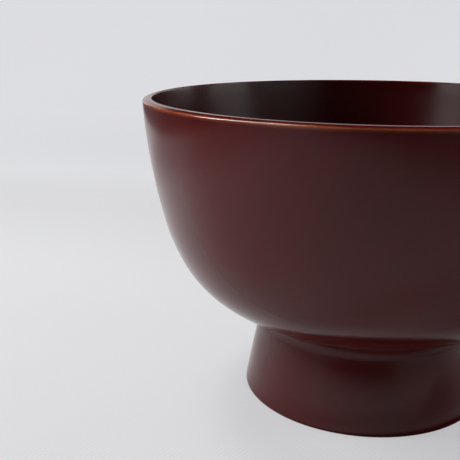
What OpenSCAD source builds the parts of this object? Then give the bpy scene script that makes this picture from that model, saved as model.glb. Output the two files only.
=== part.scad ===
// Lacquered soup bowl on a tall flared foot.
// One turned wooden blank under two coats of lacquer, each a thin shell of its own.
// Lengths are in millimetres and angles in degrees. The origin is the centre of the
// standing face, and +Z is the axis that everything is turned about.

/* [Bowl outside] */
// Diameter over the lip's outer edge
rim_d = 120; // [110:0.5:140]
// Lean of the wall from upright, just below the lip
wall_lean = 3.8; // [2:0.1:6]
// Radius of the wall's long curve
wall_r = 152.8; // [130:0.1:180]
// Turn of the wall's long curve
wall_turn = 11.75; // [9:0.05:14]
// Radius of the curve between wall and belly
shoulder_r = 49.5; // [42:0.1:58]
// Turn of the curve between wall and belly
shoulder_turn = 14; // [11:0.1:17]
// Radius of the belly
belly_r = 29; // [24:0.1:33]
// Turn of the belly, down to the straight underside
belly_turn = 33.8; // [29:0.1:37]

/* [Lip] */
// Width of the lip, from its outer edge to its inner one
lip_w = 2.3; // [1.8:0.1:3.6]
// Height of the lip's inner edge above its outer one
lip_rise = 0.54; // [0:0.02:1]
// Rounding of the lip's outer edge
lip_out_r = 0.4; // [0.3:0.05:0.8]
// Rounding of the lip's inner edge
lip_in_r = 0.35; // [0.3:0.05:0.7]

/* [Foot] */
// How far the foot's lower edge lies in from the lip's outer edge
foot_inset = 27.35; // [24:0.05:31]
// Height of the foot's wall, up to where the straight underside meets it
foot_h = 21.1; // [18:0.1:25]
// Lean of the foot's wall from upright, at the table
foot_lean = 9.4; // [5:0.1:12]
// Radius of the foot wall's faint outward swell
foot_swell_r = 333; // [240:1:480]
// Rounding in the crease between foot and underside
crease_r = 1.2; // [0.6:0.1:2.5]
// Rounding of the foot's two lower edges
foot_edge_r = 0.6; // [0.3:0.05:0.9]

/* [Inside] */
// Lean of the inner wall from upright, just below the lip
cavity_lean = 4.5; // [3.5:0.1:5.5]
// Radius of the curve between inner wall and floor
cavity_corner_r = 35; // [31:0.5:40]
// Radius of the shallow dish of the floor
dish_r = 90; // [75:1:120]
// Height of the floor's middle above the top of the foot's wall
floor_rise = 1; // [0:0.1:4]

/* [Foot well] */
// Thickness of the floor at the middle
floor_t = 7; // [5:0.1:10]
// Thickness of the foot's wall at the table
foot_wall = 4; // [3:0.1:6]
// Lean of the well's wall from upright
well_lean = 9; // [5:0.1:12]
// Rounding between the well's wall and its roof
well_corner_r = 3; // [1:0.1:5]

/* [Lacquer] */
// Thickness of the translucent top coat
top_coat = 0.15; // [0.1:0.01:0.25]
// Thickness of the ground and the vermilion undercoat together
undercoat = 0.3; // [0.2:0.01:0.45]
// Part of the lip's outer rounding where the undercoat shows through
bare_shares = [0.2, 0.75];

/* [Hidden] */

// Sharpest corner that a turning tool leaves under the lacquer
tool_r = 0.05;
// Steps of a full turn, for the solid itself, for long curves and for small roundings
turn_steps = 180;
curve_steps = 360;
round_steps = 48;
// Curves with a smaller radius than this count as small roundings
round_limit = 4;

// Depths below the finished surface: its own, the undercoat's and the wood's
skin = 0;
red = top_coat;
wood = top_coat + undercoat;

function dir(a) = [cos(a), sin(a)];
function unit(v) = v / norm(v);
function right_of(v) = [v.y, -v.x];
function rounding(r, t) = max(r - t, tool_r);

// Where the line from p along the unit vector u meets a circle: side -1 is the first
// meeting and side 1 the last
function line_on_circle(p, u, c, r, side) =
    let (b = (p - c) * u, q = (p - c) * (p - c) - r * r)
    p + u * (side * sqrt(b * b - q) - b);

// The lower of the two points that lie ra from a and rb from b
function circles_cross(a, ra, b, rb) =
    let (d = norm(b - a), u = (b - a) / d, x = (ra * ra - rb * rb + d * d) / (2 * d),
         h = sqrt(ra * ra - x * x), p = a + u * x, n = right_of(u))
    (p + n * h).y < (p - n * h).y ? p + n * h : p - n * h;

// How far a curve comes inward and down while its lean turns from one angle to another
function fall(r, from, to) = r * [cos(from) - cos(to), sin(to) - sin(from)];

// Lean of the outside where one curve gives way to the next, from the lip down
shoulder_a = wall_lean + wall_turn;
belly_a = shoulder_a + shoulder_turn;
under_a = belly_a + belly_turn;
body = fall(wall_r, wall_lean, shoulder_a) + fall(shoulder_r, shoulder_a, belly_a)
     + fall(belly_r, belly_a, under_a);

// The foot's outer wall, and the height at which its top carries the lip
foot_x = rim_d / 2 - foot_inset;
foot_c = [foot_x, 0] - foot_swell_r * dir(foot_lean);
foot_top_x = foot_c.x + sqrt(pow(foot_swell_r, 2) - pow(foot_h - foot_c.y, 2));
rim_h = foot_h + (rim_d / 2 - body.x - foot_top_x) / tan(under_a) + body.y;

// Outside of the bowl, from the lip down: each curve starts along the one before it
rim = [rim_d / 2, rim_h];
wall_c = rim - wall_r * dir(-wall_lean);
shoulder_c = wall_c + (wall_r - shoulder_r) * dir(-shoulder_a);
belly_c = shoulder_c + (shoulder_r - belly_r) * dir(-belly_a);
under_p = belly_c + belly_r * dir(-under_a);

// The crease where the straight underside runs into the foot
crease_c = line_on_circle(under_p + crease_r * dir(-under_a), right_of(dir(-under_a)),
                          foot_c, foot_swell_r + crease_r, -1);

// Lip: a flat that climbs inward, with its outward direction
lip_in = [rim_d / 2 - lip_w, rim_h + lip_rise];
lip_u = unit(lip_in - rim);
lip_n = right_of(lip_u);

// Inside of the bowl: its long curve runs beside the outer one
cavity_wall_r = wall_r - lip_w;
cavity_c = lip_in - cavity_wall_r * dir(-cavity_lean);
floor_h = foot_h + floor_rise;
dish_c = [0, floor_h + dish_r];
corner_c = circles_cross(cavity_c, cavity_wall_r - cavity_corner_r,
                         dish_c, dish_r - cavity_corner_r);

// Foot well
well_h = floor_h - floor_t;
well_x = foot_x - foot_wall;
well_corner_z = well_h - well_corner_r;
well_corner_c = [well_x - well_corner_r / cos(well_lean) - well_corner_z * tan(well_lean),
                 well_corner_z];

// Centres of the four rounded edges at depth t
function lip_out_c(t) =
    let (r = rounding(lip_out_r, t))
    line_on_circle(rim - (t + r) * lip_n, lip_u, wall_c, wall_r - t - r, -1);
function lip_in_c(t) =
    let (r = rounding(lip_in_r, t))
    line_on_circle(rim - (t + r) * lip_n, lip_u, cavity_c, cavity_wall_r + t + r, -1);
function foot_out_c(t) =
    let (r = rounding(foot_edge_r, t))
    line_on_circle([0, t + r], [1, 0], foot_c, foot_swell_r - t - r, 1);
function foot_in_c(t) =
    let (r = rounding(foot_edge_r, t))
    [well_x + (t + r) * (1 / cos(well_lean) - tan(well_lean)), t + r];

// Directions across the lip's outer rounding, from the wall to the flat
function lip_out_dir(share) =
    let (a = unit(lip_out_c(skin) - wall_c), from = atan2(a.y, a.x),
         to = atan2(lip_n.y, lip_n.x))
    dir(from + (to - from) * share);

// The bowl's section at depth t, counter-clockwise from the roof of the foot well. Each
// corner is a point and the centre of the curve that leaves it, if that edge is curved.
ROOF = 0;
FOOT_IN = 3;
FOOT_OUT = 6;
BARE_LOW = 13;
BARE_TOP = 14;
FLOOR = 20;
function section(t) =
    let (lo = lip_out_c(t), li = lip_in_c(t), fo = foot_out_c(t), fi = foot_in_c(t))
    [
        [[0, well_h + t], undef],
        [[well_corner_c.x, well_h + t], well_corner_c],
        [well_corner_c + (well_corner_r + t) * dir(well_lean), undef],
        [fi - rounding(foot_edge_r, t) * dir(well_lean), fi],
        [[fi.x, t], undef],
        [[fo.x, t], fo],
        [foot_c + (foot_swell_r - t) * unit(fo - foot_c), foot_c],
        [foot_c + (foot_swell_r - t) * unit(crease_c - foot_c), crease_c],
        [crease_c - (crease_r + t) * dir(-under_a), undef],
        [belly_c + (belly_r - t) * dir(-under_a), belly_c],
        [belly_c + (belly_r - t) * dir(-belly_a), shoulder_c],
        [shoulder_c + (shoulder_r - t) * dir(-shoulder_a), wall_c],
        [wall_c + (wall_r - t) * unit(lo - wall_c), lo],
        [lo + rounding(lip_out_r, t) * lip_out_dir(bare_shares[0]), lo],
        [lo + rounding(lip_out_r, t) * lip_out_dir(bare_shares[1]), lo],
        [lo + rounding(lip_out_r, t) * lip_n, undef],
        [li + rounding(lip_in_r, t) * lip_n, li],
        [cavity_c + (cavity_wall_r + t) * unit(li - cavity_c), cavity_c],
        [cavity_c + (cavity_wall_r + t) * unit(corner_c - cavity_c), corner_c],
        [dish_c + (dish_r + t) * unit(corner_c - dish_c), dish_c],
        [[0, floor_h - t], undef]
    ];

// Points along one edge from p, up to the point before q
function edge(p, q, c) =
    is_undef(c) ? [p] :
    let (a = p - c, b = q - c, r = norm(a), from = atan2(a.y, a.x),
         turn = atan2(a.x * b.y - a.y * b.x, a * b),
         n = ceil(abs(turn) * (r < round_limit ? round_steps : curve_steps) / 360))
    [for (i = [0:n - 1]) c + r * dir(from + turn * i / n)];

// Points along the section at depth t, from one corner to another
function stretch(t, from, to) =
    let (s = section(t))
    [for (i = [from:1:to - 1]) each edge(s[i][0], s[i + 1][0], s[i][1]), s[to][0]];
function reversed(list) = [for (i = [len(list) - 1:-1:0]) list[i]];

module turned(points) {
    rotate_extrude($fn = turn_steps) polygon(points);
}

// A coat between two depths, over one stretch of the section
module coat(outer, inner, from, to) {
    turned(concat(stretch(outer, from, to), reversed(stretch(inner, from, to))));
}

module wood_core() {
    color("burlywood") turned(stretch(wood, ROOF, FLOOR));
}

// The outer undercoat comes to the surface along the lip's outer edge, where the top
// coat is rubbed through
module outer_undercoat() {
    color("orangered") turned(concat(
        stretch(red, FOOT_OUT, BARE_LOW),
        stretch(skin, BARE_LOW, BARE_TOP),
        stretch(red, BARE_TOP, BARE_TOP),
        reversed(stretch(wood, FOOT_OUT, BARE_TOP))));
}

module inner_undercoat() {
    color("orangered") coat(red, wood, BARE_TOP, FLOOR);
}

module foot_well_undercoat() {
    color("orangered") coat(red, wood, ROOF, FOOT_IN);
}

module outer_top_coat() {
    color([0.29, 0.11, 0.10]) coat(skin, red, FOOT_OUT, BARE_LOW);
}

module inner_top_coat() {
    color([0.24, 0.09, 0.09]) coat(skin, red, BARE_TOP, FLOOR);
}

module foot_well_top_coat() {
    color([0.24, 0.09, 0.09]) coat(skin, red, ROOF, FOOT_IN);
}

// Both coats together, on the edge that the bowl stands on
module foot_edge_coat() {
    color([0.22, 0.08, 0.08]) coat(skin, wood, FOOT_IN, FOOT_OUT);
}

wood_core();
outer_undercoat();
inner_undercoat();
foot_well_undercoat();
outer_top_coat();
inner_top_coat();
foot_well_top_coat();
foot_edge_coat();
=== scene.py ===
"""An open lacquered soup bowl on a tall flared foot, on a pale floor in soft studio light.

Every visible coat is turned afresh from the section that the CAD is turned from, in metres:
fine steps, true normals and a lacquer whose colour follows how thin the top coat is rubbed.
"""
import cmath
import math

import bpy
from mathutils import Matrix


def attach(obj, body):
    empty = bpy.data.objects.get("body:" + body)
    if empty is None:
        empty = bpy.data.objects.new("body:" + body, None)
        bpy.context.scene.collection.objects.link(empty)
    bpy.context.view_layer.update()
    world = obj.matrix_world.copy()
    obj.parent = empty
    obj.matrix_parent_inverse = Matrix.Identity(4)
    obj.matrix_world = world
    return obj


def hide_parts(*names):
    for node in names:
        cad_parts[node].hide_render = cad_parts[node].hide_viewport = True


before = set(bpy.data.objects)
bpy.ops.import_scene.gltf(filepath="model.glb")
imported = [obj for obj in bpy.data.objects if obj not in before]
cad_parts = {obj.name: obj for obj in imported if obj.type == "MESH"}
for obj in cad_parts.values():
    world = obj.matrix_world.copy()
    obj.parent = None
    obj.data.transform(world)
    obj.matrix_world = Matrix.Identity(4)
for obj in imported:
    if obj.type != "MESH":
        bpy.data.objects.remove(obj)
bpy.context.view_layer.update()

# Section of the bowl, in metres and degrees, from the lip's outer edge down. The crest
# along the lip is only here, and the crease's rounding is wider than in the solids.
RIM_D = 0.120
WALL_LEAN, WALL_R, WALL_TURN = 3.8, 0.1528, 11.75
SHOULDER_R, SHOULDER_TURN = 0.0495, 14.0
BELLY_R, BELLY_TURN = 0.029, 33.8
LIP_W, LIP_RISE, LIP_OUT_R, LIP_IN_R = 0.0023, 0.00054, 0.0004, 0.00035
CREST_W, CREST_LEAN, CREST_R = 0.00117, 4.0, 0.0012
FOOT_INSET, FOOT_H, FOOT_LEAN, FOOT_SWELL_R = 0.02735, 0.0211, 9.4, 0.333
FOOT_D = RIM_D - 2 * FOOT_INSET
CREASE_R, FOOT_EDGE_R = 0.0030, 0.0006
CAVITY_LEAN, CAVITY_CORNER_R, DISH_R, FLOOR_RISE = 4.5, 0.035, 0.090, 0.001
FLOOR_T, FOOT_WALL, WELL_LEAN, WELL_CORNER_R = 0.007, 0.004, 9.0, 0.003
TOP_COAT, UNDERCOAT, TOOL_R = 0.00015, 0.0003, 0.00005
BARE_SHARES = (0.2, 0.75)

# Depths below the finished surface: its own, the undercoat's and the wood's
SKIN, RED, WOOD = 0.0, TOP_COAT, TOP_COAT + UNDERCOAT

# Steps of a full turn about the axis, of long curves and of small roundings
TURN_STEPS = 240
CURVE_STEPS = 480
ROUND_STEPS = 96
ROUND_LIMIT = 0.004

# A gap, or a distance from the axis, under TOUCH metres counts as none, and points that
# agree to so many decimals are one
TOUCH, KEY_DIGITS = 1e-7, 9

# Corners of the section, in the order of its outline
ROOF, FOOT_IN, FOOT_OUT, BARE_LOW, BARE_TOP, FLOOR = 0, 3, 6, 13, 14, 22

# The camera, fitted to the photograph, in metres, degrees and millimetres of film
CAMERA_AT = (0.0, -0.20153, 0.09824)
CAMERA_PITCH, CAMERA_YAW, CAMERA_ROLL = 15.352, -10.718, 0.289
CAMERA_LENS, SENSOR, CLIP_START = 59.20, 36.0, 0.01


# Section
# A point is a complex number: the distance from the axis and the height

def towards(angle):
    return cmath.rect(1.0, math.radians(angle))


def unit(v):
    return v / abs(v)


def dot(a, b):
    return (a * b.conjugate()).real


def rounding(radius, depth):
    return max(radius - depth, TOOL_R)


def line_on_circle(p, u, c, r, side):
    """Where the line from p along u meets a circle: side -1 is the first, 1 the last."""
    b = dot(p - c, u)
    return p + u * (side * math.sqrt(b * b - abs(p - c) ** 2 + r * r) - b)


def circles_cross(a, ra, b, rb):
    """The lower of the two points that lie ra from a and rb from b."""
    d = abs(b - a)
    u = (b - a) / d
    x = (ra * ra - rb * rb + d * d) / (2 * d)
    h = math.sqrt(ra * ra - x * x)
    return min(a + u * complex(x, h), a + u * complex(x, -h), key=lambda p: p.imag)


def fall(r, start, end):
    """How far a curve comes inward and down while its lean turns."""
    a, b = math.radians(start), math.radians(end)
    return r * complex(math.cos(a) - math.cos(b), math.sin(b) - math.sin(a))


class Section:
    """The places that every coat is worked out from."""

    def __init__(self):
        shoulder = WALL_LEAN + WALL_TURN
        belly = shoulder + SHOULDER_TURN
        under = belly + BELLY_TURN
        body = (fall(WALL_R, WALL_LEAN, shoulder) + fall(SHOULDER_R, shoulder, belly)
                + fall(BELLY_R, belly, under))
        self.foot_c = FOOT_D / 2 - FOOT_SWELL_R * towards(FOOT_LEAN)
        foot_top = self.foot_c.real + math.sqrt(
            FOOT_SWELL_R ** 2 - (FOOT_H - self.foot_c.imag) ** 2)
        rim_h = (FOOT_H + (RIM_D / 2 - body.real - foot_top) / math.tan(math.radians(under))
                 + body.imag)
        self.rim = complex(RIM_D / 2, rim_h)
        self.shoulder_a, self.belly_a, self.under_a = shoulder, belly, under
        self.wall_c = self.rim - WALL_R * towards(-WALL_LEAN)
        self.shoulder_c = self.wall_c + (WALL_R - SHOULDER_R) * towards(-shoulder)
        self.belly_c = self.shoulder_c + (SHOULDER_R - BELLY_R) * towards(-belly)
        under_p = self.belly_c + BELLY_R * towards(-under)
        self.crease_c = line_on_circle(
            under_p + CREASE_R * towards(-under), towards(-under - 90),
            self.foot_c, FOOT_SWELL_R + CREASE_R, -1)
        lip_in = self.rim + complex(-LIP_W, LIP_RISE)
        crest_in = CREST_W * (-1 + 1j * math.tan(math.radians(CREST_LEAN)))
        self.lip_u = unit(lip_in - crest_in - self.rim)
        self.lip_n = -1j * self.lip_u
        self.crest_p = lip_in - crest_in
        self.crest_u = unit(crest_in)
        self.crest_n = -1j * self.crest_u
        half = self.lip_n + self.crest_n
        self.crest_c = self.crest_p - CREST_R * half / dot(half, self.lip_n)
        self.cavity_r = WALL_R - LIP_W
        self.cavity_c = lip_in - self.cavity_r * towards(-CAVITY_LEAN)
        self.floor_h = FOOT_H + FLOOR_RISE
        self.dish_c = complex(0, self.floor_h + DISH_R)
        self.corner_c = circles_cross(self.cavity_c, self.cavity_r - CAVITY_CORNER_R,
                                      self.dish_c, DISH_R - CAVITY_CORNER_R)
        self.well_h = self.floor_h - FLOOR_T
        self.well_x = FOOT_D / 2 - FOOT_WALL
        lean, z = math.radians(WELL_LEAN), self.well_h - WELL_CORNER_R
        self.well_corner_c = complex(
            self.well_x - WELL_CORNER_R / math.cos(lean) - z * math.tan(lean), z)

    def lip_out_c(self, t):
        r = rounding(LIP_OUT_R, t)
        return line_on_circle(self.rim - (t + r) * self.lip_n, self.lip_u,
                              self.wall_c, WALL_R - t - r, -1)

    def lip_in_c(self, t):
        r = rounding(LIP_IN_R, t)
        return line_on_circle(self.crest_p - (t + r) * self.crest_n, self.crest_u,
                              self.cavity_c, self.cavity_r + t + r, -1)

    def foot_out_c(self, t):
        r = rounding(FOOT_EDGE_R, t)
        return line_on_circle(complex(0, t + r), 1, self.foot_c, FOOT_SWELL_R - t - r, 1)

    def foot_in_c(self, t):
        r, lean = rounding(FOOT_EDGE_R, t), math.radians(WELL_LEAN)
        return complex(self.well_x + (t + r) * (1 / math.cos(lean) - math.tan(lean)), t + r)

    def lip_out_dir(self, share):
        start = cmath.phase(self.lip_out_c(SKIN) - self.wall_c)
        return cmath.rect(1.0, start + (cmath.phase(self.lip_n) - start) * share)

    def corners(self, t):
        """Corners at depth t, each with the centre of the curve that leaves it, or None."""
        lo, li, fo, fi = (self.lip_out_c(t), self.lip_in_c(t), self.foot_out_c(t),
                          self.foot_in_c(t))
        lip, edge = rounding(LIP_OUT_R, t), rounding(FOOT_EDGE_R, t)
        return [
            (complex(0, self.well_h + t), None),
            (complex(self.well_corner_c.real, self.well_h + t), self.well_corner_c),
            (self.well_corner_c + (WELL_CORNER_R + t) * towards(WELL_LEAN), None),
            (fi - edge * towards(WELL_LEAN), fi),
            (complex(fi.real, t), None),
            (complex(fo.real, t), fo),
            (self.foot_c + (FOOT_SWELL_R - t) * unit(fo - self.foot_c), self.foot_c),
            (self.foot_c + (FOOT_SWELL_R - t) * unit(self.crease_c - self.foot_c),
             self.crease_c),
            (self.crease_c - (CREASE_R + t) * towards(-self.under_a), None),
            (self.belly_c + (BELLY_R - t) * towards(-self.under_a), self.belly_c),
            (self.belly_c + (BELLY_R - t) * towards(-self.belly_a), self.shoulder_c),
            (self.shoulder_c + (SHOULDER_R - t) * towards(-self.shoulder_a), self.wall_c),
            (self.wall_c + (WALL_R - t) * unit(lo - self.wall_c), lo),
            (lo + lip * self.lip_out_dir(BARE_SHARES[0]), lo),
            (lo + lip * self.lip_out_dir(BARE_SHARES[1]), lo),
            (lo + lip * self.lip_n, None),
            (self.crest_c + (CREST_R - t) * self.lip_n, self.crest_c),
            (self.crest_c + (CREST_R - t) * self.crest_n, None),
            (li + rounding(LIP_IN_R, t) * self.crest_n, li),
            (self.cavity_c + (self.cavity_r + t) * unit(li - self.cavity_c), self.cavity_c),
            (self.cavity_c + (self.cavity_r + t) * unit(self.corner_c - self.cavity_c),
             self.corner_c),
            (self.dish_c + (DISH_R + t) * unit(self.corner_c - self.dish_c), self.dish_c),
            (complex(0, self.floor_h - t), None),
        ]


section = Section()


def curve(p, q, c):
    """Short pieces of a curved edge, each with its ends and the true normals there."""
    a, b = p - c, q - c
    r, turn = abs(a), cmath.phase(b / a)
    steps = ROUND_STEPS if r < ROUND_LIMIT else CURVE_STEPS
    n = max(2, math.ceil(abs(turn) * steps / math.tau))
    points = [c + a * cmath.rect(1.0, turn * i / n) for i in range(n)] + [q]
    out = unit(a) if turn > 0 else -unit(a)
    normals = [out * cmath.rect(1.0, turn * i / n) for i in range(n + 1)]
    return list(zip(points, points[1:], normals, normals[1:]))


def straight(p, q):
    n = -1j * unit(q - p)
    return [(p, q, n, n)]


def stretch(t, first, last):
    """The section at depth t from one corner to another."""
    corners = section.corners(t)
    pieces = []
    for (p, c), (q, _) in zip(corners[first:last], corners[first + 1:last + 1]):
        pieces += straight(p, q) if c is None else curve(p, q, c)
    return pieces


def back(pieces):
    """The same stretch travelled the other way, as the far side of a coat."""
    return [(q, p, -m, -n) for p, q, n, m in reversed(pieces)]


def closed(*stretches):
    """Stretches joined end to end by straight cuts into one closed outline."""
    ring = []
    for here, after in zip(stretches, stretches[1:] + stretches[:1]):
        ring += here
        p, q = here[-1][1], after[0][0]
        if abs(q - p) > TOUCH and max(p.real, q.real) > TOUCH:
            ring += straight(p, q)
    return ring


def coat(outer, inner, first, last):
    """A coat from one depth to another, between two corners of the section."""
    return closed(stretch(outer, first, last), back(stretch(inner, first, last)))


def ridge():
    """The undercoat under the outer top coat, with the rim that comes to the surface."""
    return closed(stretch(RED, FOOT_OUT, BARE_LOW), stretch(SKIN, BARE_LOW, BARE_TOP),
                  back(stretch(WOOD, FOOT_OUT, BARE_TOP)))


# Meshes

def reach(p):
    """How far a point of the section lies from the middle of the lip's rubbed edge."""
    middle = sum(BARE_SHARES) / 2
    return abs(p - section.lip_out_c(SKIN) - LIP_OUT_R * section.lip_out_dir(middle))


def on_axis(p):
    """Whether a point stays in place when the section turns."""
    return p.real < TOUCH


def turned(name, ring):
    """A closed outline turned about the axis, with the true normal at every corner."""
    points, index = [], {}

    def at(p):
        key = (round(p.real, KEY_DIGITS), round(p.imag, KEY_DIGITS))
        if key not in index:
            index[key] = len(points)
            points.append(p)
        return index[key]

    rows = [(at(p), at(q), n, m) for p, q, n, m in ring]
    turns = [cmath.rect(1.0, math.tau * k / TURN_STEPS) for k in range(TURN_STEPS)]
    start, verts, reaches = [], [], []
    for p in points:
        start.append(len(verts))
        for w in turns[:1] if on_axis(p) else turns:
            verts.append((p.real * w.real, p.real * w.imag, p.imag))
            reaches.append(reach(p))

    def vert(i, k):
        return start[i] + (0 if on_axis(points[i]) else k % TURN_STEPS)

    faces, normals = [], []
    for i, j, n, m in rows:
        for k in range(TURN_STEPS):
            ends = [(i, k, n), (i, k + 1, n), (j, k + 1, m), (j, k, m)]
            if on_axis(points[i]):
                ends = ends[1:]
            elif on_axis(points[j]):
                ends = ends[:3]
            faces.append([vert(e, s) for e, s, _ in ends])
            for _, s, v in ends:
                w = turns[s % TURN_STEPS]
                normals.append((v.real * w.real, v.real * w.imag, v.imag))
    mesh = bpy.data.meshes.new(name)
    mesh.from_pydata(verts, [], faces)
    mesh.polygons.foreach_set("use_smooth", [True] * len(faces))
    mesh.attributes.new("reach", "FLOAT", "POINT").data.foreach_set("value", reaches)
    mesh.normals_split_custom_set(normals)
    mesh.update()
    piece = bpy.data.objects.new(name, mesh)
    bpy.context.collection.objects.link(piece)
    return piece


# Material helpers

def new_material(name):
    material = bpy.data.materials.new(name)
    material.use_nodes = True
    return material, material.node_tree, material.node_tree.nodes["Principled BSDF"]


def add(tree, kind, settings=(), **inputs):
    """A node with its settings and inputs; an input is a value or another node's output."""
    made = tree.nodes.new(kind)
    for key, value in dict(settings).items():
        setattr(made, key, value)
    for key, value in inputs.items():
        socket = made.inputs[int(key[1:])] if key[1:].isdigit() else made.inputs[
            key.replace("_", " ")]
        if isinstance(value, bpy.types.NodeSocket):
            tree.links.new(value, socket)
        else:
            socket.default_value = value
    return made


def ramp(tree, factor, stops):
    """A colour ramp over a factor, from (place, colour) pairs."""
    made = add(tree, "ShaderNodeValToRGB", Fac=factor)
    band = made.color_ramp
    while len(band.elements) < len(stops):
        band.elements.new(0.5)
    for element, (place, colour) in zip(band.elements, stops):
        element.position = place
        element.color = (*colour, 1.0)
    return made.outputs["Color"]


def noise(tree, vector, scale, detail=2.0, rough=0.5):
    return add(tree, "ShaderNodeTexNoise", Vector=vector, Scale=scale, Detail=detail,
               Roughness=rough).outputs["Fac"]


def calculate(tree, operation, a, b=0.0, c=0.0):
    return add(tree, "ShaderNodeMath", {"operation": operation}, _0=a, _1=b, _2=c).outputs[0]


def times(tree, a, b):
    return calculate(tree, "MULTIPLY", a, b)


def plus(tree, a, b):
    return calculate(tree, "ADD", a, b)


def leaning(tree, value, slope, other):
    """Another value, with a slope's share of this one added."""
    return calculate(tree, "MULTIPLY_ADD", value, slope, other)


def between(tree, value, low, high, to_low=0.0, to_high=1.0, kind="LINEAR"):
    """A value's place between two others, held at both ends."""
    return add(tree, "ShaderNodeMapRange", {"clamp": True, "interpolation_type": kind},
               Value=value, From_Min=low, From_Max=high, To_Min=to_low,
               To_Max=to_high).outputs[0]


def soft(tree, value, low, high, to_low=0.0, to_high=1.0):
    """The same with rounded ends, so that no line shows where it starts and stops."""
    return between(tree, value, low, high, to_low, to_high, "SMOOTHSTEP")


def object_place(tree):
    """A point's own place in metres, and its X, Y and Z."""
    place = add(tree, "ShaderNodeTexCoord").outputs["Object"]
    return place, add(tree, "ShaderNodeSeparateXYZ", Vector=place).outputs


# Lacquer, undercoat and wood
# Colours are linear light. A noise is its scale, detail and roughness. A range is its two
# ends, followed, where it has four numbers, by what it gives at each of them.

BROWN = (0.113, 0.0045, 0.0045)
DARK_RED = (0.105, 0.005, 0.006)
INNER_BROWN = (0.056, 0.004, 0.0045)
CREST_RED = (0.19, 0.010, 0.009)
RUST = (0.20, 0.030, 0.012)
VERMILION = (0.45, 0.11, 0.035)
DARK_VERMILION = (0.38, 0.085, 0.03)

# The lacquer's colour by distance from the middle of the lip's rubbed edge, in metres
REACH_SPAN = 0.005
RUST_AT, DARK_RED_AT, CREST_AT, BROWN_AT = 0.06, (0.15, 0.23), (0.30, 0.41), 0.49
RUB_NOISE, RUB_RANGE = (90.0, 3.0, 0.6), (0.3, 0.7)
CLOUD_NOISE, CLOUD = (35.0, 3.0, 0.5), (0.25, 0.75, 0.93, 1.07)
# Painted shade on the foot under the belly: the lacquer's colour times 0.81 up to 0.021 m
# high, rising to the full colour by 0.026 m
FOOT_PAINTED_SHADE = (0.021, 0.026, 0.81, 1.0)

# Its gloss: burnished along the rubbed edge, duller in the crease and deep inside
GLOSS, FOOT_GLOSS, INNER_DULLER = 0.16, 0.20, 0.08
WEAR, FOOT_WEAR = 0.00012, 0.0001
SHEEN_NOISE, SHEEN_RANGE, SHEEN_SWING = (60.0, 4.0, 0.6), (0.2, 0.8), 0.02
INNER_DULL_FROM, INNER_DULL_TO = 0.0025, 0.0045
CREASE_FOOT, CREASE_BELLY = (0.0170, 0.0200, 0.0, 0.20), (0.0232, 0.0250, 1.0, 0.0)
LACQUER_IOR, BURNISH = 1.5, (0.0002, 0.0007, 1.0, 0.5)

# Its faint relief, with a depth in metres
FINE_NOISE, WAVE_NOISE, FINE_SHARE = (900.0, 2.0, 0.5), (70.0, 1.0, 0.4), 0.08
BUMP_STRENGTH, BUMP_DEPTH = 0.5, 0.00004

MOTTLE_NOISE, MOTTLE_AT, UNDERCOAT_ROUGHNESS = (120.0, 4.0, 0.6), (0.3, 0.7), 0.4
WOOD_RINGS = {"Scale": 60.0, "Distortion": 6.0, "Detail": 3.0, "Detail_Scale": 1.5}
PORE_NOISE, PORE_SHARE, WOOD_ROUGHNESS = (700.0, 4.0, 0.7), 0.35, 0.6
WOOD_STOPS = [(0.15, (0.34, 0.19, 0.09)), (1.0, (0.56, 0.37, 0.20))]


def lacquer(name, brown, dark_red, crest, roughness, wear, duller=0.0):
    """Translucent brown-red lacquer, thinner and redder towards the lip's rubbed edge,
    unevenly clouded, with painted shade that darkens the foot under the belly.
    """
    material, tree, shader = new_material(name)
    place, spot = object_place(tree)
    below = add(tree, "ShaderNodeAttribute", {"attribute_name": "reach"}).outputs["Fac"]
    rub = between(tree, noise(tree, place, *RUB_NOISE), *RUB_RANGE, -wear, wear)
    depth = plus(tree, below, rub)
    colour = ramp(tree, between(tree, depth, 0.0, REACH_SPAN), [
        (0.0, VERMILION), (RUST_AT, RUST), (DARK_RED_AT[0], dark_red),
        (DARK_RED_AT[1], dark_red), (CREST_AT[0], crest), (CREST_AT[1], crest),
        (BROWN_AT, brown), (1.0, brown)])
    cloud = between(tree, noise(tree, place, *CLOUD_NOISE), *CLOUD)
    # Random clouding, times the painted shade on the foot below the crease
    shade = times(tree, cloud, between(tree, spot["Z"], *FOOT_PAINTED_SHADE))
    shaded = add(tree, "ShaderNodeVectorMath", {"operation": "SCALE"}, Vector=colour,
                 Scale=shade).outputs[0]
    tree.links.new(shaded, shader.inputs["Base Color"])
    tree.links.new(lacquer_roughness(tree, place, spot, below, roughness, duller),
                   shader.inputs["Roughness"])
    shader.inputs["IOR"].default_value = LACQUER_IOR
    tree.links.new(between(tree, depth, *BURNISH), shader.inputs["Specular IOR Level"])
    relief = leaning(tree, noise(tree, place, *FINE_NOISE), FINE_SHARE,
                     noise(tree, place, *WAVE_NOISE))
    bump = add(tree, "ShaderNodeBump", Strength=BUMP_STRENGTH, Distance=BUMP_DEPTH,
               Height=relief)
    tree.links.new(bump.outputs["Normal"], shader.inputs["Normal"])
    return material


def lacquer_roughness(tree, place, spot, below, roughness, duller):
    """An uneven sheen, with what the inside and the crease add to it."""
    sheen = between(tree, noise(tree, place, *SHEEN_NOISE), *SHEEN_RANGE,
                    roughness - SHEEN_SWING, roughness + SHEEN_SWING)
    inside = between(tree, below, INNER_DULL_FROM, INNER_DULL_TO, 0.0, duller)
    crease = times(tree, between(tree, spot["Z"], *CREASE_FOOT),
                   between(tree, spot["Z"], *CREASE_BELLY))
    return plus(tree, sheen, plus(tree, inside, crease))


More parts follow.
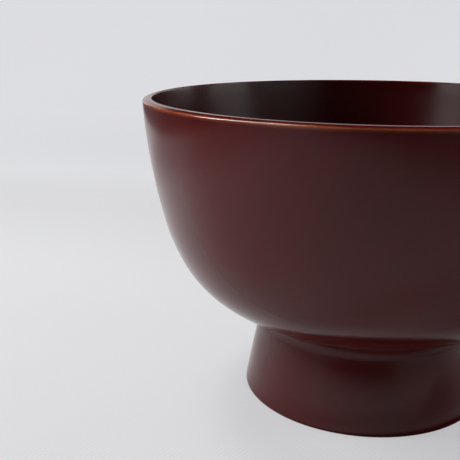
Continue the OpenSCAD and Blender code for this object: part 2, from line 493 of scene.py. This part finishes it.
def undercoat_material():
    """Opaque vermilion lacquer over its ground, faintly mottled."""
    material, tree, shader = new_material("vermilion_undercoat")
    place, _ = object_place(tree)
    mottle = noise(tree, place, *MOTTLE_NOISE)
    tree.links.new(ramp(tree, mottle, list(zip(MOTTLE_AT, (DARK_VERMILION, VERMILION)))),
                   shader.inputs["Base Color"])
    shader.inputs["Roughness"].default_value = UNDERCOAT_ROUGHNESS
    return material


def wood_material():
    """Turned hardwood under the coats: growth rings across the blank and fine pores."""
    material, tree, shader = new_material("wood_blank")
    place, _ = object_place(tree)
    rings = add(tree, "ShaderNodeTexWave", {"wave_type": "BANDS", "bands_direction": "X"},
                Vector=place, **WOOD_RINGS).outputs["Fac"]
    grain = leaning(tree, noise(tree, place, *PORE_NOISE), PORE_SHARE, rings)
    tree.links.new(ramp(tree, grain, WOOD_STOPS), shader.inputs["Base Color"])
    shader.inputs["Roughness"].default_value = WOOD_ROUGHNESS
    return material


# Pieces

def dress(name, ring, material, node):
    """A turned piece in its material, that takes the place of a CAD node."""
    piece = turned(name, ring)
    piece.data.materials.append(material)
    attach(piece, "root")
    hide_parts(node)
    return piece


def make_bowl():
    """The coats that show as pieces, and materials for the solids that they hide."""
    outer = lacquer("outer_lacquer", BROWN, DARK_RED, DARK_RED, GLOSS, WEAR)
    inner = lacquer("inner_lacquer", INNER_BROWN, DARK_RED, CREST_RED, GLOSS, WEAR,
                    INNER_DULLER)
    foot = lacquer("foot_lacquer", BROWN, BROWN, BROWN, FOOT_GLOSS, FOOT_WEAR)
    dress("outer_lacquer_coat", coat(SKIN, RED, FOOT_OUT, BARE_LOW), outer,
          "outer_top_coat")
    dress("inner_lacquer_coat", coat(SKIN, RED, BARE_TOP, FLOOR), inner,
          "inner_top_coat")
    dress("foot_well_lacquer_coat", coat(SKIN, RED, ROOF, FOOT_IN), foot,
          "foot_well_top_coat")
    dress("foot_edge_lacquer", coat(SKIN, WOOD, FOOT_IN, FOOT_OUT), foot,
          "foot_edge_coat")
    dress("outer_vermilion_coat", ridge(), outer, "outer_undercoat")
    vermilion = undercoat_material()
    hidden = {"wood_core": wood_material(), "inner_undercoat": vermilion,
              "foot_well_undercoat": vermilion}
    for node, material in hidden.items():
        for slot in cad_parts[node].material_slots:
            slot.material = material


# Studio
# Places are in metres, and ranges are written as above.

# The floor, that widens behind the bowl and curves up into the backdrop
FLOOR_LEFT, FLOOR_FRONT, FLOOR_RIGHT = -0.520, -0.33, 1.60
WING_FROM, WING_OUT = 0.38, 0.62
BACKDROP_Y, BACKDROP_R, BACKDROP_TOP, BACKDROP_STEPS = 1.10, 0.45, 0.56, 24

PAPER, PAPER_SHADE, PAPER_ROUGHNESS = (0.70, 0.705, 0.72), 0.985, 0.9
PAPER_NOISE, PAPER_AT = (3.0, 2.0, 0.5), (0.3, 0.7)
BLACK, PALE = (0.0, 0.0, 0.0, 1.0), (0.98, 0.98, 1.0, 1.0)

# What the camera sees: a glow that changes with Y and X, and a share of the lit paper
CAMERA_SHARE = 0.50
CAMERA_FROM, CAMERA_TO = 0.08, 0.62
CAMERA_NEAR, CAMERA_FAR = (0.458, 0.456, 0.469), (0.630, 0.632, 0.660)
CAMERA_RISE = ((0.0, 0.0), (0.11, -0.06), (0.18, -0.04), (0.26, 0.15), (0.37, 0.54),
               (0.54, 0.64), (1.0, 1.0))
CAMERA_SLOPE = (-0.60, 0.0, 1.018, 0.975)

# The cloth's ribs: direction in degrees, spacing, depth by Y, and patches without them
RIB_ANGLE, RIB_STEP, RIB_DEPTH = 63.0, 0.0011, (-0.048, -0.028, 0.08, 0.0)
PATCH_SCALE, PATCHES = 90.0, (0.40, 0.65, 0.0, 1.0)

# What the bowl mirrors, as shares of the lit paper: less at the left edge, under the
# strongest lamp, at the front and in the foot's contact shadow
EDGE = (-0.355, -0.315, 0.20, 1.0)
HOT_LOSS, HOT_FADE = (-0.26, -0.17, 0.40, 0.0), (0.10, 0.28, 1.0, 0.0)
FRONT, FRONT_LEAN = (-0.36, -0.20, 0.45, 1.0), -0.8
CONTACT, CONTACT_LEAN_X, CONTACT_LEAN_Y = (0.0272, 0.0287, 0.07, 1.0), -0.12, 0.25

# And a glow added to it: on the floor near and far, round the foot and on the backdrop
NEAR_GLOW, FAR_GLOW = (-0.06, 0.02, 0.0, 0.14), (0.16, 0.30, 0.0, 0.22)
RING_GLOW = (0.040, 0.050, 0.09, 0.0)
BACKDROP_RISE, BACKDROP_GLOW = (0.5, 0.9, 0.0, 1.0), (-0.42, -0.20, 0.60, 0.0)

# The share of the lit paper that lights the bowl in return
BOUNCE = 0.75

# The surroundings: strength by direction, and what the camera sees of them
DIM, SKY = 0.01, 0.74
LOW_DOWN, ON_RIGHT = (0.04, 0.30, 1.0, 0.0), (0.45, 0.80, 0.0, 0.42)

# Lamps: name, place, aim, size, watts and spread in degrees
BOWL, WIDE = (0.0, 0.0, 0.05), 180.0
LAMPS = (
    ("key", (-0.739, -0.104, 0.553), BOWL, (0.205, 0.585), 5.0, WIDE),
    ("front_left", (-0.51, -0.48, 0.27), BOWL, (0.25, 0.36), 0.42, WIDE),
    ("fill", (0.95, 0.10, 0.30), (0.0, 0.0, 0.10), (0.50, 0.40), 0.51, WIDE),
    ("fill_high", (0.80, 0.10, 0.445), BOWL, (0.317, 0.317), 1.14, WIDE),
    ("back_right", (0.534, 0.708, 0.206), BOWL, (0.48, 0.32), 0.83, WIDE),
    ("pool", (-0.35, 0.20, 0.80), (-0.12, 0.02, 0.0), (0.25, 0.25), 0.17, 40.0),
)


def emission(tree, colour, strength=1.0):
    return add(tree, "ShaderNodeEmission", Color=colour, Strength=strength).outputs[0]


def mixed(tree, factor, first, second):
    """Two shaders blended: a factor of 0 leaves the first, and 1 the second."""
    return add(tree, "ShaderNodeMixShader", Fac=factor, _1=first, _2=second).outputs[0]


def added(tree, first, second):
    return add(tree, "ShaderNodeAddShader", _0=first, _1=second).outputs[0]


def share_of(tree, share, shader):
    """Part of a shader's light, with nothing in place of the rest."""
    return mixed(tree, share, emission(tree, BLACK), shader)


def weave(tree, place, away):
    """Fine diagonal ribs of the cloth, that fade out away from the front."""
    across = towards(RIB_ANGLE - 90) * math.tau / RIB_STEP
    phase = add(tree, "ShaderNodeVectorMath", {"operation": "DOT_PRODUCT"}, _0=place,
                _1=(across.real, across.imag, 0.0)).outputs["Value"]
    patchy = between(tree, noise(tree, place, PATCH_SCALE), *PATCHES)
    depth = times(tree, between(tree, away, *RIB_DEPTH), patchy)
    return leaning(tree, calculate(tree, "SINE", phase), depth, 1.0)


def seen_paper(tree, place, spot, lit):
    """Paper for the camera: an even glow, with its shadows softened."""
    light = ramp(tree, between(tree, spot["Y"], CAMERA_FROM, CAMERA_TO), [
        (at, tuple(near + (far - near) * share
                   for near, far in zip(CAMERA_NEAR, CAMERA_FAR)))
        for at, share in CAMERA_RISE])
    strength = times(tree, weave(tree, place, spot["Y"]),
                     soft(tree, spot["X"], *CAMERA_SLOPE))
    return added(tree, emission(tree, light, strength), share_of(tree, CAMERA_SHARE, lit))


def mirrored_paper(tree, place, spot, lit):
    """Paper for the bowl's gloss: dimmed in places, with the far floor's glow."""
    across, away = spot["X"], spot["Y"]
    out = add(tree, "ShaderNodeVectorMath", {"operation": "LENGTH"},
              Vector=place).outputs["Value"]
    under = leaning(tree, across, CONTACT_LEAN_X, leaning(tree, away, CONTACT_LEAN_Y, out))
    bounds = times(tree, soft(tree, across, *EDGE), between(tree, under, *CONTACT))
    loss = times(tree, soft(tree, across, *HOT_LOSS), soft(tree, away, *HOT_FADE))
    front = soft(tree, leaning(tree, across, FRONT_LEAN, away), *FRONT)
    dimming = times(tree, calculate(tree, "SUBTRACT", 1.0, loss), front)
    on_floor = plus(tree, soft(tree, away, *NEAR_GLOW), soft(tree, away, *FAR_GLOW))
    on_floor = plus(tree, on_floor, soft(tree, out, *RING_GLOW))
    behind = times(tree, soft(tree, away, *BACKDROP_RISE),
                   soft(tree, across, *BACKDROP_GLOW))
    shine = emission(tree, PALE, plus(tree, times(tree, on_floor, bounds), behind))
    return added(tree, shine, share_of(tree, times(tree, dimming, bounds), lit))


def paper_material():
    """Pale paper, with a look each for the camera, the bowl's gloss and all other light."""
    material, tree, shader = new_material("pale_paper")
    place, spot = object_place(tree)
    tones = (tuple(c * PAPER_SHADE for c in PAPER), PAPER)
    cloud = noise(tree, place, *PAPER_NOISE)
    tree.links.new(ramp(tree, cloud, list(zip(PAPER_AT, tones))),
                   shader.inputs["Base Color"])
    shader.inputs["Roughness"].default_value = PAPER_ROUGHNESS
    shader.inputs["Specular IOR Level"].default_value = 0.0
    lit = shader.outputs[0]
    path = add(tree, "ShaderNodeLightPath").outputs
    other = mixed(tree, path["Is Glossy Ray"], share_of(tree, BOUNCE, lit),
                  mirrored_paper(tree, place, spot, lit))
    surface = mixed(tree, path["Is Camera Ray"], other, seen_paper(tree, place, spot, lit))
    tree.links.new(surface, tree.nodes["Material Output"].inputs["Surface"])
    return material


def make_floor():
    """A flat floor, wider behind, that curves up into a backdrop behind the bowl."""
    line = [(FLOOR_FRONT, 0.0), (WING_FROM, 0.0)]
    for i in range(BACKDROP_STEPS + 1):
        a = math.pi / 2 * i / BACKDROP_STEPS
        line.append((BACKDROP_Y - BACKDROP_R + BACKDROP_R * math.sin(a),
                     BACKDROP_R * (1 - math.cos(a))))
    line.append((BACKDROP_Y, BACKDROP_TOP))
    verts = []
    for y, z in line:
        wing = max(0.0, y - WING_FROM) * WING_OUT
        verts += [(FLOOR_LEFT - wing, y, z), (FLOOR_RIGHT, y, z)]
    faces = [(2 * i, 2 * i + 1, 2 * i + 3, 2 * i + 2) for i in range(len(line) - 1)]
    mesh = bpy.data.meshes.new("floor")
    mesh.from_pydata(verts, [], faces)
    mesh.polygons.foreach_set("use_smooth", [True] * len(faces))
    mesh.materials.append(paper_material())
    floor = bpy.data.objects.new("floor", mesh)
    bpy.context.collection.objects.link(floor)


def length_one(v):
    size = math.sqrt(sum(c * c for c in v))
    return [c / size for c in v]


def cross(a, b):
    return [a[1] * b[2] - a[2] * b[1], a[2] * b[0] - a[0] * b[2], a[0] * b[1] - a[1] * b[0]]


def placed(right, up, forward, at):
    """The place of a lamp or a camera, that looks along its own -Z."""
    axes = (right, up, [-f for f in forward])
    return Matrix([[axis[i] for axis in axes] + [at[i]] for i in range(3)] + [(0, 0, 0, 1)])


def area_light(name, at, aim, size, watts, spread):
    """A rectangular lamp with two of its sides level."""
    data = bpy.data.lights.new(name, "AREA")
    data.shape = "RECTANGLE"
    data.size, data.size_y = size
    data.energy = watts
    data.spread = math.radians(spread)
    lamp = bpy.data.objects.new(name, data)
    bpy.context.collection.objects.link(lamp)
    forward = length_one([b - a for a, b in zip(at, aim)])
    right = length_one(cross(forward, (0.0, 0.0, 1.0)))
    lamp.matrix_world = placed(right, cross(right, forward), forward, at)


def make_lights():
    for lamp in LAMPS:
        area_light(*lamp)


def make_world():
    """Dim surroundings, a little brighter low down on the right; the camera sees paper."""
    world = bpy.data.worlds.new("studio")
    bpy.context.scene.world = world
    world.use_nodes = True
    tree = world.node_tree
    look = add(tree, "ShaderNodeSeparateXYZ",
               Vector=add(tree, "ShaderNodeTexCoord").outputs["Generated"]).outputs
    dim = leaning(tree, between(tree, look["Z"], *LOW_DOWN),
                  between(tree, look["X"], *ON_RIGHT), DIM)
    seen = add(tree, "ShaderNodeLightPath").outputs["Is Camera Ray"]
    strength = add(tree, "ShaderNodeMix", Factor=seen, A=dim, B=SKY).outputs[0]
    tree.links.new(strength, tree.nodes["Background"].inputs["Strength"])
    tree.nodes["Background"].inputs["Color"].default_value = PALE


def make_camera():
    """The camera where the photograph was taken from, tilted as it was held."""
    pitch, yaw, roll = (math.radians(a) for a in (CAMERA_PITCH, CAMERA_YAW, CAMERA_ROLL))
    forward = (math.sin(yaw) * math.cos(pitch), math.cos(yaw) * math.cos(pitch),
               -math.sin(pitch))
    level = (math.cos(yaw), -math.sin(yaw), 0.0)
    upright = cross(level, forward)
    c, s = math.cos(roll), math.sin(roll)
    right = [c * r + s * u for r, u in zip(level, upright)]
    up = [c * u - s * r for r, u in zip(level, upright)]
    data = bpy.data.cameras.new("camera")
    data.lens, data.sensor_width, data.sensor_fit = CAMERA_LENS, SENSOR, "HORIZONTAL"
    data.clip_start = CLIP_START
    camera = bpy.data.objects.new("camera", data)
    bpy.context.collection.objects.link(camera)
    camera.matrix_world = placed(right, up, forward, CAMERA_AT)
    bpy.context.scene.camera = camera


make_camera()
make_bowl()
make_floor()
make_lights()
make_world()
bpy.context.scene.view_settings.view_transform = "Standard"
